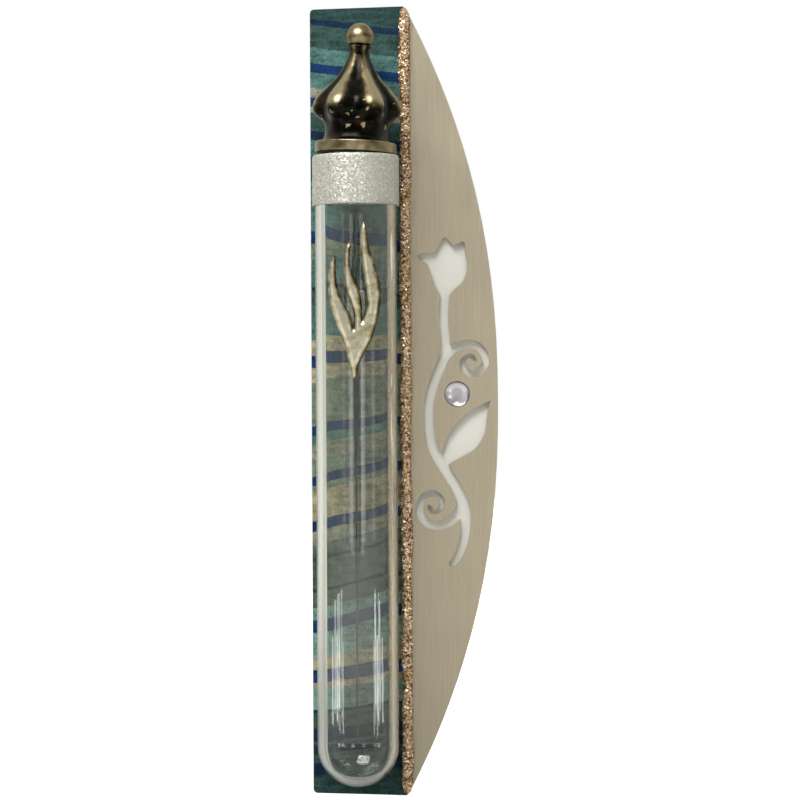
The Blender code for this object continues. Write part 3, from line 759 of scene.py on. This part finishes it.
def add_tube_glue():
    """A ragged strip that hollows to the round of the tube."""
    shape = bmesh.new()
    radius = TUBE_RADIUS + GLUE_GAP
    rows = []
    for i in range(GLUE_ROWS + 1):
        z = GLUE_LOW.z + (GLUE_HIGH.z - GLUE_LOW.z) * i / GLUE_ROWS
        half = glue_half_width(z) * (1 + 0.4 * noise.noise(Vector((0, 0, z / (5 * MM)))))
        shift = -0.3 * MM + 0.15 * MM * noise.noise(Vector((3, 0, z / (9 * MM))))
        row = [shape.verts.new((TUBE_AXIS.x + shift + half * s, GLUE_HIGH.y, z)) for s in (1, -1)]
        for s in (-1, -0.5, 0, 0.5, 1):
            across = shift + half * s
            back = TUBE_AXIS.y + math.sqrt(radius**2 - across**2)
            row.append(shape.verts.new((TUBE_AXIS.x + across, back, z)))
        rows.append(row)
    skin_rows(shape, rows)
    return add_piece("tube_glue_line", shape, painted_shade_adhesive(), "case", smooth_below=50)


tube_glue = add_tube_glue()
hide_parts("tube_glue")


# Mouth band. A film of fine silver glitter in clear glue, brushed on round the outside of the
# tube's mouth and up over the round of its lip.
BAND_LOW, BAND_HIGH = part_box("mouth_band")
BAND_GAP = 0.06 * MM
BAND_END = 38  # degrees up the round of the lip


def silver_glitter():
    # Fine silver glitter under glue: flakes of 0.1 mm, drawn at 0.26 mm so that they show. Each
    # flake tips its own way, which is what makes it sparkle.
    material, tree, place = start_material("silver_glitter_film", {"Metallic": 0.5, "Roughness": 0.45})
    flake = add_node(tree, "ShaderNodeTexVoronoi", {"Vector": place, "Scale": per_metre(0.26)})
    tone = add_node(
        tree,
        "ShaderNodeValToRGB",
        {"Fac": flake.outputs["Color"]},
        stops=[(0.2, "ADACA3"), (0.6, "C3C2B8"), (0.85, "DDDCD5")],
    )
    tip = add_node(
        tree, "ShaderNodeVectorMath", {0: flake.outputs["Color"], 1: (0.5, 0.5, 0.5)}, operation="SUBTRACT"
    )
    lean = add_node(tree, "ShaderNodeVectorMath", {0: tip.outputs[0], "Scale": 0.5}, operation="SCALE")
    facing = add_node(tree, "ShaderNodeNewGeometry", {})
    tipped = add_node(
        tree, "ShaderNodeVectorMath", {0: facing.outputs["Normal"], 1: lean.outputs[0]}, operation="ADD"
    )
    unit = add_node(tree, "ShaderNodeVectorMath", {0: tipped.outputs[0]}, operation="NORMALIZE")
    return wired(material, {"Base Color": tone.outputs["Color"], "Normal": unit.outputs[0]})


band_outer = (BAND_HIGH.x - BAND_LOW.x) / 2
band_film = band_outer - TUBE_RADIUS - BAND_GAP
band_foot = BAND_LOW.z - TUBE_HIGH.z
inner = arc(TUBE_RADIUS - lip, -lip, lip + BAND_GAP, BAND_END, 0, 5)
outer = arc(TUBE_RADIUS - lip, -lip, lip + BAND_GAP + band_film, 0, BAND_END, 6)
foot = arc(band_outer - band_film / 2, band_foot + band_film / 2, band_film / 2, 180, 360, 6)
rows = 40
straight = [
    (band_outer, band_foot + band_film / 2 + (outer[0][1] - band_foot - band_film / 2) * i / rows)
    for i in range(1, rows)
]


def brushed_on(radius, height, angle):
    """The outside of the film with its small lumps."""
    spot = Vector((math.sin(angle) * 5, math.cos(angle) * 5, height / (0.5 * MM)))
    return radius + (0.03 * MM * noise.noise(spot * 2.2) if radius > TUBE_RADIUS + band_film * 0.6 else 0)


band = turned(
    "silver_mouth_band",
    inner + foot + straight + outer,
    TUBE_SIDES,
    silver_glitter(),
    "case",
    radius_at=brushed_on,
    ring_closed=True,
)
put(band, mouth)
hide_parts("mouth_band")


# Flame ornament. A small casting with three tongues, domed on the front and flat behind, silvered,
# dipped in dark patina and rubbed back, so that the ridges are pale and the hollows brown.
FLAME_LOW, FLAME_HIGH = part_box("flame_ornament")
FLAME_EDGE = 0.75 * MM  # thickness left at the outline
FLAME_DOME = 0.95 * MM  # how far in from the outline the dome reaches its top
FLAME_NET = 0.32 * MM


def antique_silver():
    # Antiqued silver plate on zinc: pale warm metal on the ridges, brown-black patina low down,
    # painted shade on the flanks that face right, and small dents from the casting.
    material, tree, place = start_material("antique_silver_plate", {"Metallic": 1.0})
    wear_and_painted_light = add_node(tree, "ShaderNodeAttribute", {}, attribute_name="wear_and_painted_light")
    patches = add_node(tree, "ShaderNodeTexNoise", {"Vector": place, "Scale": per_metre(1.6), "Detail": 4.0})
    rubbed_and_painted_light = add_node(
        tree,
        "ShaderNodeMath",
        {0: patches.outputs["Fac"], 1: 1.2, 2: wear_and_painted_light.outputs["Fac"]},
        operation="MULTIPLY_ADD",
    )
    tone = add_node(
        tree,
        "ShaderNodeValToRGB",
        {"Fac": rubbed_and_painted_light.outputs[0]},
        stops=[(0.25, "2A1F12"), (0.5, "77653F"), (0.72, "B8AC8A"), (0.96, "E2DCC4")],
    )
    dull = add_node(
        tree,
        "ShaderNodeMapRange",
        {"Value": rubbed_and_painted_light.outputs[0], "From Min": 0.3, "To Min": 0.5, "To Max": 0.3},
    )
    dents = add_node(tree, "ShaderNodeTexNoise", {"Vector": place, "Scale": per_metre(1.4), "Detail": 1.0})
    bump = add_node(
        tree, "ShaderNodeBump", {"Height": dents.outputs["Fac"], "Distance": 0.12 * MM, "Strength": 0.5}
    )
    links = {
        "Base Color": tone.outputs["Color"],
        "Roughness": dull.outputs[0],
        "Normal": bump.outputs["Normal"],
    }
    return wired(material, links)


def rim_of(node):
    """The outline of a flat CAD piece's front, in order, as (x, z) points."""
    shape = welded(node)
    front = min(v.co.y for v in shape.verts)
    ring = {}
    for edge in shape.edges:
        on_front = all(abs(v.co.y - front) < 1e-6 for v in edge.verts)
        if on_front and any(abs(f.normal.y) < 0.5 for f in edge.link_faces):
            for a, b in (edge.verts, reversed(edge.verts)):
                ring.setdefault(a, []).append(b)
    start = max(ring, key=lambda v: v.co.z)
    loop = [start, ring[start][0]]
    while loop[-1] is not start:
        loop.append(next(v for v in ring[loop[-1]] if v is not loop[-2]))
    points = [(v.co.x, v.co.z) for v in loop[:-1]]
    shape.free()
    return points


def distance_to(point, outline):
    """How far a point is from an outline."""
    nearest = 1.0
    for a, b in zip(outline, outline[1:] + outline[:1]):
        touch, share = geometry.intersect_point_line(point, a, b)
        touch = a if share < 0 else b if share > 1 else touch
        nearest = min(nearest, (point - touch.to_2d()).length)
    return nearest


def add_flame():
    """Fills the outline with a fine net of points and domes it."""
    outline = [Vector(p) for p in rim_of("flame_ornament")]
    points = list(outline)
    for i in range(int((FLAME_HIGH.x - FLAME_LOW.x) / FLAME_NET) + 1):
        for j in range(int((FLAME_HIGH.z - FLAME_LOW.z) / FLAME_NET) + 1):
            spot = Vector((FLAME_LOW.x + (i + 0.5 * (j % 2)) * FLAME_NET, FLAME_LOW.z + j * FLAME_NET))
            if distance_to(spot, outline) > 0.6 * FLAME_NET:
                points.append(spot)
    count = len(outline)
    rim = [(i, (i + 1) % count) for i in range(count)]
    found, _, faces, *_ = geometry.delaunay_2d_cdt(points, rim, [], 1, 1e-9)
    shape = bmesh.new()
    wear_and_painted_light = shape.verts.layers.float.new("wear_and_painted_light")
    front_verts, back_verts = [], []
    for spot in found:
        inward = min(distance_to(spot, outline) / FLAME_DOME, 1)
        dome = math.sqrt(1 - (1 - inward) ** 2)
        thickness = FLAME_EDGE + (FLAME_HIGH.y - FLAME_LOW.y - FLAME_EDGE) * dome
        vert = shape.verts.new((spot.x, FLAME_HIGH.y - thickness, spot.y))
        vert[wear_and_painted_light] = 0.3 * dome
        front_verts.append(vert)
        back_verts.append(shape.verts.new((spot.x, FLAME_HIGH.y, spot.y)))
    for face in faces:
        shape.faces.new([front_verts[i] for i in face])
        shape.faces.new([back_verts[i] for i in reversed(face)])
    for edge in [e for e in shape.edges if e.is_boundary and e.verts[0] in set(front_verts)]:
        pair = [back_verts[front_verts.index(v)] for v in edge.verts]
        shape.faces.new((edge.verts[0], edge.verts[1], pair[1], pair[0]))
    loose = [v for v in shape.verts if not v.link_faces]
    bmesh.ops.delete(shape, geom=loose, context="VERTS")
    bmesh.ops.recalc_face_normals(shape, faces=shape.faces)
    shape.normal_update()
    # Flanks that face to the right are darker: painted shade, as from light on the left.
    for vert in shape.verts:
        vert[wear_and_painted_light] -= 0.35 * max(vert.normal.x, 0)
    return add_piece("flame_ornament_casting", shape, antique_silver(), "case", smooth_below=60)


flame = add_flame()
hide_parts("flame_ornament")


# Ornament glue. The same clear adhesive, in a drop that holds the flame to the glass and fills part
# of the gaps between its tongues.
ornament_glue = bare_copy("flame_glue", "ornament_glue", glue, "case")
ease_edges(ornament_glue, 0.15)


# Stopper. A moulded silicone plug with three soft ribs that seal the tube's bore. Its stem stands
# up out of the mouth, and the crown is glued on it.
PLUG_LOW, PLUG_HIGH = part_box("stopper")
RIB_COUNT = 3
RIB_DEPTH = 0.35 * MM
RIB_SHARE = 0.84  # of the ribs' spacing
RIB_STEPS = 8
STEM_RADIUS = 4.4 * MM
STEM_EDGE = 0.3 * MM


def silicone():
    # Moulded translucent silicone: milky, soft-edged and slightly dusty.
    material, tree, place = start_material(
        "translucent_silicone",
        {"Roughness": 0.4, "IOR": 1.41, "Subsurface Weight": 0.4, "Subsurface Scale": 0.002},
    )
    dust = add_node(tree, "ShaderNodeTexNoise", {"Vector": place, "Scale": per_metre(0.8), "Detail": 4.0})
    tone = add_node(
        tree, "ShaderNodeValToRGB", {"Fac": dust.outputs["Fac"]}, stops=[(0.35, "C9C8C0"), (0.65, "DEDDD6")]
    )
    bump = add_node(
        tree, "ShaderNodeBump", {"Height": dust.outputs["Fac"], "Distance": 0.02 * MM, "Strength": 0.4}
    )
    return wired(material, {"Base Color": tone.outputs["Color"], "Normal": bump.outputs["Normal"]})


plug_radius = (PLUG_HIGH.x - PLUG_LOW.x) / 2
plug_foot = PLUG_LOW.z - TUBE_HIGH.z
plug_top = -0.1 * MM
pitch = (plug_top - plug_foot) / RIB_COUNT
plug_profile = [(0, plug_foot), (plug_radius * 0.82, plug_foot)]
for rib in range(RIB_COUNT):
    for step in range(RIB_STEPS + 1):
        swell = math.sin(math.pi * step / RIB_STEPS) ** 0.6
        height = plug_foot + (rib + (1 - RIB_SHARE) / 2 + RIB_SHARE * step / RIB_STEPS) * pitch
        plug_profile.append((plug_radius - RIB_DEPTH * (1 - swell), height))
stem_top = PLUG_HIGH.z - TUBE_HIGH.z
plug_profile += [(plug_radius - RIB_DEPTH, plug_top), (STEM_RADIUS, plug_top)]
plug_profile += arc(STEM_RADIUS - STEM_EDGE, stem_top - STEM_EDGE, STEM_EDGE, 0, 90, 4) + [(0, stem_top)]
stopper = turned("silicone_stopper", plug_profile, 96, silicone(), "stopper")
put(stopper, mouth)
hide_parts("stopper")


# Crown. A hollow-footed onion dome with six lobes and a ball, cast in pewter, darkened and polished
# on its high spots. Its black underside is partly patina and partly painted dark reflection, and its
# small bright chips are painted glints. It is glued on the stopper's stem, a little out of plumb.
CROWN_LEAN = math.radians(2.5)
CROWN_LOBES = 6
CROWN_TURN = math.radians(27)
CROWN_GAP = 0.2 * MM
CROWN_FOOT = TUBE_HIGH.z + CROWN_GAP + TUBE_RADIUS * math.sin(CROWN_LEAN)

# The crown's own sizes are in millimetres from its foot: the socket in its underside, the plain ring
# with rounded edges above the tube, the ledge that the lobes start from, the collar at the top of
# the spire, and the ball.
SOCKET_RADIUS = 5.0
SOCKET_DEPTH = 5.2
RING_RADIUS = TUBE_RADIUS / MM
RING_HEIGHT = 2.2
RING_EDGE = 0.3
LEDGE_RADIUS = 7.0
SPIRE_RADIUS = 2.0
COLLAR_HEIGHT = 21.0
COLLAR_CENTRE = 1.95
COLLAR_EDGE = 0.35
BALL_RADIUS = 2.77
BALL_HEIGHT = 23.0
BALL_START = -30.2  # degrees, where the collar meets it

# Height, crest radius and valley depth, the first two in millimetres.
CROWN_SECTION = [
    (2.25, 6.9, 0.0), (2.9, 6.4, 0.01), (4.0, 6.2, 0.02), (5.4, 6.3, 0.04), (6.2, 6.75, 0.08),
    (6.85, 7.55, 0.13), (7.55, 8.35, 0.17), (8.6, 8.77, 0.2), (9.7, 8.68, 0.21), (10.6, 8.28, 0.21),
    (11.5, 7.58, 0.21), (12.7, 6.5, 0.21), (14.3, 4.95, 0.19), (16.2, 3.5, 0.14), (17.9, 2.6, 0.09),
    (19.4, 2.05, 0.03), (20.5, 2.0, 0.0),
]


def between(a, b, c, d, t):
    """A smooth value between b and c, with a before them and d after."""
    square = 2 * a - 5 * b + 4 * c - d
    cube = 3 * b - a - 3 * c + d
    return b + 0.5 * ((c - a) * t + square * t**2 + cube * t**3)


def smooth_rows(rows, steps=5):
    """A table with rows added along a smooth curve through its own rows."""
    ends = [rows[0]] + rows + [rows[-1]]
    line = []
    for four in zip(ends, ends[1:], ends[2:], ends[3:]):
        line += [tuple(between(*values, step / steps) for values in zip(*four)) for step in range(steps)]
    return line + [rows[-1]]


fine_section = smooth_rows(CROWN_SECTION)


def valley_depth(height):
    """How deep the valleys are at a height, as a share of the radius."""
    for (low, _, below), (high, _, above) in zip(fine_section, fine_section[1:]):
        if low * MM <= height <= high * MM:
            return below + (above - below) * (height / MM - low) / (high - low)
    return 0.0


def valley_at(angle):
    """0 on a lobe's crest and 1 in the valley between two lobes."""
    return (0.5 - 0.5 * math.cos(CROWN_LOBES * (angle - CROWN_TURN))) ** 1.3


def lobed(radius, height, angle):
    """The crown's radius with its valleys pressed in."""
    return radius * (1 - valley_depth(height) * valley_at(angle))


def crown_polish_and_painted_light(radius, height, angle):
    """Polish: most on the upper slopes of the lobes, the ball and the ring; none under the lobes, where the
    black is patina and painted dark reflection.
    """
    h = height / MM
    if h < RING_HEIGHT + 0.1 or h > BALL_HEIGHT - 1.5:
        return 0.55
    # Small bright chips in the dark patina under the lobes: painted glints, standing in for reflections.
    place = Vector((radius * math.cos(angle), radius * math.sin(angle), height)) / (1.1 * MM)
    if 4 < h < 10 and noise.noise(place) > 0.5:
        return 0.9
    # Painted dark reflection: no polish below 8 mm, so the lower half stays black.
    upper = min(max((h - 8.0) / 1.5, 0), 1)
    crest = 1 - valley_at(angle)
    spire = min(max((h - 14.0) / 3, 0), 1)
    return 0.75 * crest**2.2 * (1 - 0.35 * spire) * upper


def antique_pewter():
    # Antiqued pewter: brown-gold where it was buffed, black lacquered patina in the hollows, black
    # under the lobes as patina and painted dark reflection, small painted glints there, with reddish
    # smudges and shallow dents from the casting.
    material, tree, place = start_material(
        "antique_pewter", {"Metallic": 1.0, "Coat Weight": 0.1, "Coat Roughness": 0.06}
    )
    wear_and_painted_light = add_node(tree, "ShaderNodeAttribute", {}, attribute_name="wear_and_painted_light")
    patches = add_node(tree, "ShaderNodeTexNoise", {"Vector": place, "Scale": per_metre(2.2), "Detail": 5.0})
    rubbed_and_painted_light = add_node(
        tree,
        "ShaderNodeMath",
        {0: patches.outputs["Fac"], 1: 0.7, 2: wear_and_painted_light.outputs["Fac"]},
        operation="MULTIPLY_ADD",
    )
    tone = add_node(
        tree,
        "ShaderNodeValToRGB",
        {"Fac": rubbed_and_painted_light.outputs[0]},
        stops=[(0.33, "0B0C09"), (0.56, "2C271B"), (0.8, "766A4C"), (1.0, "A59779")],
    )
    smudge_field = add_node(
        tree, "ShaderNodeTexNoise", {"Vector": place, "Scale": per_metre(3.4), "Detail": 2.0}
    )
    smudge = add_node(
        tree,
        "ShaderNodeMapRange",
        {"Value": smudge_field.outputs["Fac"], "From Min": 0.58, "From Max": 0.72, "To Max": 0.3},
    )
    stained = add_node(
        tree,
        "ShaderNodeMix",
        {0: smudge.outputs[0], 6: tone.outputs["Color"], 7: linear("4A2C1A")},
        data_type="RGBA",
    )
    dull = add_node(
        tree, "ShaderNodeMapRange", {"Value": patches.outputs["Fac"], "To Min": 0.22, "To Max": 0.42}
    )
    dents = add_node(tree, "ShaderNodeTexNoise", {"Vector": place, "Scale": per_metre(1.3), "Detail": 2.0})
    bump = add_node(
        tree, "ShaderNodeBump", {"Height": dents.outputs["Fac"], "Distance": 0.1 * MM, "Strength": 0.5}
    )
    return wired(
        material,
        {"Base Color": stained.outputs[2], "Roughness": dull.outputs[0], "Normal": bump.outputs["Normal"]},
    )


crown_profile = [(0, SOCKET_DEPTH), (SOCKET_RADIUS, SOCKET_DEPTH), (SOCKET_RADIUS, 0)]
crown_profile += arc(RING_RADIUS - RING_EDGE, RING_EDGE, RING_EDGE, -90, 0, 4)
crown_profile += arc(RING_RADIUS - RING_EDGE, RING_HEIGHT - RING_EDGE, RING_EDGE, 0, 90, 4)
crown_profile += [(LEDGE_RADIUS, RING_HEIGHT)] + [(radius, height) for height, radius, _ in fine_section]
crown_profile += arc(COLLAR_CENTRE, COLLAR_HEIGHT, COLLAR_EDGE, -60, 60, 4)
crown_profile += [(SPIRE_RADIUS, COLLAR_HEIGHT + 0.5)]
crown_profile += arc(0, BALL_HEIGHT, BALL_RADIUS, BALL_START, 90, 22)[:-1]
crown_profile += [(0, BALL_HEIGHT + BALL_RADIUS)]
crown_profile = [(radius * MM, height * MM) for radius, height in crown_profile]
crown = turned(
    "onion_crown", crown_profile, 144, antique_pewter(), "crown", radius_at=lobed, marks=crown_polish_and_painted_light
)
put(crown, (TUBE_AXIS.x, TUBE_AXIS.y, CROWN_FOOT), CROWN_LEAN)
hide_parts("crown")


# Studio. A white floor in a white room, a large soft window to the upper left, soft panels in front
# and four narrow lamps beside the tube that draw the highlights down its glass. Floor and room look
# white, and are dimmer in reflections.
FLOOR_REACH = 1.6  # from its middle to each side
FLOOR_GAP = 0.4 * MM
WATTS_FOR_RADIANCE = 4  # for each square metre of lamp

# Each soft light's name, place, width and height in metres, and radiance.
SOFT_LIGHTS = [
    ("high_window", (-0.2, -0.42, 0.5), 0.5, 0.35, 6.7),
    ("front_panel_left", (-0.44, -1.42, 0.03), 0.26, 0.36, 2.0),
    ("front_panel_right", (0.46, -1.42, 0.03), 0.3, 0.36, 2.2),
    ("side_panel", (1.1, -1.0, 0.03), 0.26, 0.3, 1.2),
    ("slit_lamp_0", (-0.119, -0.048, -0.067), 0.01, 0.024, 7),
    ("slit_lamp_1", (-0.112, -0.078, -0.067), 0.01, 0.024, 7),
    ("slit_lamp_2", (0.1, -0.05, -0.067), 0.01, 0.024, 7),
    ("slit_lamp_3", (0.091, -0.082, -0.067), 0.01, 0.024, 7),
]


def add_floor():
    """A matt floor, white in view. Its paint is greyer near the case as painted shade, which the glass
    reflects.
    """
    shape = bmesh.new()
    bmesh.ops.create_grid(shape, x_segments=1, y_segments=1, size=FLOOR_REACH)
    mesh = bpy.data.meshes.new("studio_floor")
    shape.to_mesh(mesh)
    shape.free()
    floor = bpy.data.objects.new("studio_floor", mesh)
    floor.location = (0, 0, cad_low.z - FLOOR_GAP)
    bpy.context.scene.collection.objects.link(floor)
    material, tree, place = start_material(
        "matt_white_floor", {"Roughness": 0.9, "Emission Color": linear("FFFFFF")}
    )
    spot = add_node(tree, "ShaderNodeSeparateXYZ", {"Vector": place})
    reach = add_node(
        tree, "ShaderNodeMapRange", {"Value": spot.outputs["Y"], "From Min": -0.3, "From Max": 0.3}
    )
    # Painted shade: greyer within 0.3 m of the case, darkest within 0.1 m.
    tone = add_node(
        tree,
        "ShaderNodeValToRGB",
        {"Fac": reach.outputs[0]},
        stops=[(0.0, "D4D3CE"), (0.33, "7A7873"), (0.67, "7A7873"), (1.0, "D4D3CE")],
    )
    path = add_node(tree, "ShaderNodeLightPath", {})
    glow = add_node(tree, "ShaderNodeMapRange", {"Value": path.outputs["Is Camera Ray"], "To Min": 0.2})
    links = {"Base Color": tone.outputs["Color"], "Emission Strength": glow.outputs[0]}
    mesh.materials.append(wired(material, links))


def add_soft_light(name, place, width, height, radiance):
    """A rectangular soft light that looks at the middle of the case and isn't itself in view."""
    data = bpy.data.lights.new(name, "AREA")
    data.shape = "RECTANGLE"
    data.size = width
    data.size_y = height
    data.energy = WATTS_FOR_RADIANCE * width * height * radiance
    light = bpy.data.objects.new(name, data)
    light.location = place
    light.rotation_euler = (-Vector(place)).to_track_quat("-Z", "Y").to_euler()
    light.visible_camera = False
    bpy.context.scene.collection.objects.link(light)


def add_room():
    """Light from all round: white behind, above and below the case, and dim on the camera's side."""
    world = bpy.data.worlds.new("white_room")
    world.use_nodes = True
    tree = world.node_tree
    tree.nodes.clear()
    way = add_node(tree, "ShaderNodeTexCoord", {})
    parts = add_node(tree, "ShaderNodeSeparateXYZ", {"Vector": way.outputs["Generated"]})
    depth = add_node(
        tree, "ShaderNodeMath", {0: parts.outputs["Y"], 1: 0.5, 2: 0.5}, operation="MULTIPLY_ADD"
    )
    steep = add_node(tree, "ShaderNodeMath", {0: parts.outputs["Z"]}, operation="ABSOLUTE")
    bright = add_node(
        tree, "ShaderNodeMath", {0: steep.outputs[0], 1: 0.6, 2: depth.outputs[0]}, operation="MULTIPLY_ADD"
    )
    tone = add_node(
        tree,
        "ShaderNodeValToRGB",
        {"Fac": bright.outputs[0]},
        stops=[(0.0, "3A3835"), (0.3, "5E5C56"), (0.55, "B9B8AD"), (0.8, "E0E1D5")],
    )
    room = add_node(tree, "ShaderNodeBackground", {"Color": tone.outputs["Color"], "Strength": 1.0})
    white = add_node(tree, "ShaderNodeBackground", {"Color": linear("FFFFFF"), "Strength": 1.0})
    path = add_node(tree, "ShaderNodeLightPath", {})
    mixed = add_node(
        tree,
        "ShaderNodeMixShader",
        {0: path.outputs["Is Camera Ray"], 1: room.outputs[0], 2: white.outputs[0]},
    )
    add_node(tree, "ShaderNodeOutputWorld", {"Surface": mixed.outputs[0]})
    bpy.context.scene.world = world


add_floor()
add_room()
for light in SOFT_LIGHTS:
    add_soft_light(*light)
